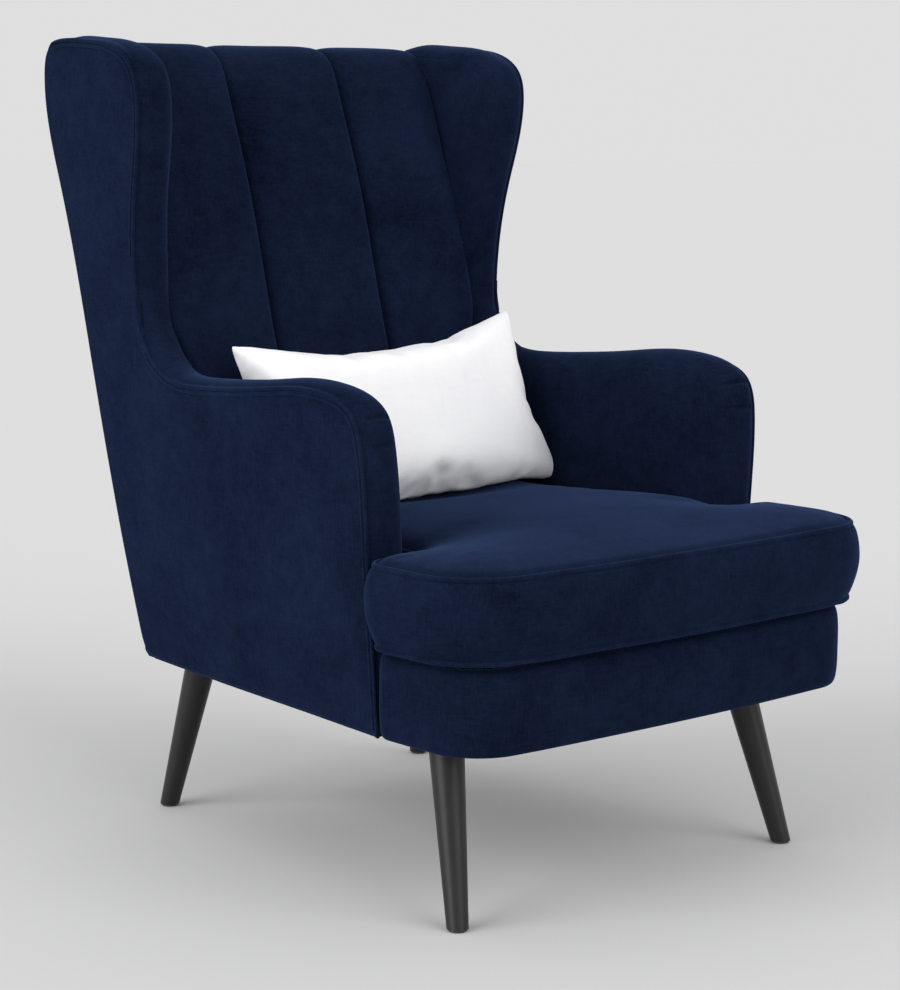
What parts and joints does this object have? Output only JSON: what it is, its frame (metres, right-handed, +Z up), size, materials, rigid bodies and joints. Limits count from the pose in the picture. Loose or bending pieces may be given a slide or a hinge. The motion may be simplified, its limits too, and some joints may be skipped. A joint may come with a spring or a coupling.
{
  "type": "wingback armchair",
  "caption": "Wingback armchair on splayed tapered legs, with a T-shaped lift-off seat cushion, a channelled inside back and a loose lumbar pillow.",
  "frame": {"origin": "on the floor, at the middle of the chair's width and depth", "axes": "+Z up, the chair faces -Y, +X is to the right seen from the front; X = 0 is the plane of symmetry of everything but the lumbar pillow"},
  "size_m": [0.704, 0.9105, 1.035],
  "materials": {
    "velvet": "short-pile velvet, matt with a soft sheen at grazing angles",
    "pillow_cotton": "smooth cotton, matt",
    "filling": "upholstery foam and fibre",
    "webbing": "woven elastic webbing",
    "black_felt": "non-woven felt",
    "plywood": "raw plywood",
    "frame_timber": "planed, unfinished",
    "leg_lacquer": "black lacquer, satin",
    "spring_steel": "drawn spring wire",
    "zinc_hardware": "zinc plated",
    "glide_plastic": "moulded nylon",
    "zip": "moulded coil zip"
  },
  "bodies": {
    "chair": {"arm_board_left": "plywood", "arm_board_right": "plywood", "arm_pad_left": "velvet", "arm_pad_right": "velvet", "arm_rail_left": "frame_timber", "arm_rail_right": "frame_timber", "back_foam": "filling", "back_rail": "frame_timber", "back_top_rail": "frame_timber", "back_upright_left": "frame_timber", "back_upright_right": "frame_timber", "backing_board": "plywood", "boxing_band_left": "velvet", "boxing_band_right": "velvet", "deck_pad": "filling", "double_welt_left": "velvet", "double_welt_right": "velvet", "dust_cover": "black_felt", "floor_glides": "glide_plastic", "front_border": "velvet", "front_post_left": "frame_timber", "front_post_right": "frame_timber", "front_rail": "frame_timber", "hanger_bolts": "zinc_hardware", "inside_back_centre": "velvet", "inside_back_left": "velvet", "inside_back_right": "velvet", "leg_blocks": "frame_timber", "leg_front_left": "leg_lacquer", "leg_front_right": "leg_lacquer", "leg_plates": "zinc_hardware", "leg_rear_left": "leg_lacquer", "leg_rear_right": "leg_lacquer", "lumbar_rail": "frame_timber", "outside_back_cover": "velvet", "outside_cover_left": "velvet", "outside_cover_right": "velvet", "plate_screws": "zinc_hardware", "rail_corner_blocks": "frame_timber", "seat_rail_left": "frame_timber", "seat_rail_right": "frame_timber", "seat_springs": "spring_steel", "spring_clips": "spring_steel", "spring_insulator": "black_felt", "spring_tie_wires": "spring_steel", "webbing_across": "webbing", "webbing_up": "webbing", "wing_board_left": "plywood", "wing_board_right": "plywood", "wing_pad_left": "velvet", "wing_pad_right": "velvet"},
    "seat_cushion": {"seat_cushion_core": "filling", "seat_cushion_cover": "velvet", "cushion_top_piping": "velvet", "cushion_bottom_piping": "velvet", "cushion_zip_tape": "zip"},
    "lumbar_pillow": {"pillow_insert": "filling", "pillow_cover": "pillow_cotton"},
    "zip_slider": {"cushion_zip_slider": "zip"}
  },
  "joints": [
    {"name": "seat_cushion_lift", "type": "slide", "parent": "chair", "child": "seat_cushion", "axis": [0, 0, 1], "range_m": [0, 0.3]},
    {"name": "lumbar_pillow_lift", "type": "slide", "parent": "seat_cushion", "child": "lumbar_pillow", "axis": [0, 0, 1], "range_m": [0, 0.45]},
    {"name": "zip_slide", "type": "slide", "parent": "seat_cushion", "child": "zip_slider", "axis": [1, 0, 0], "range_m": [0, 0.36]}
  ]
}
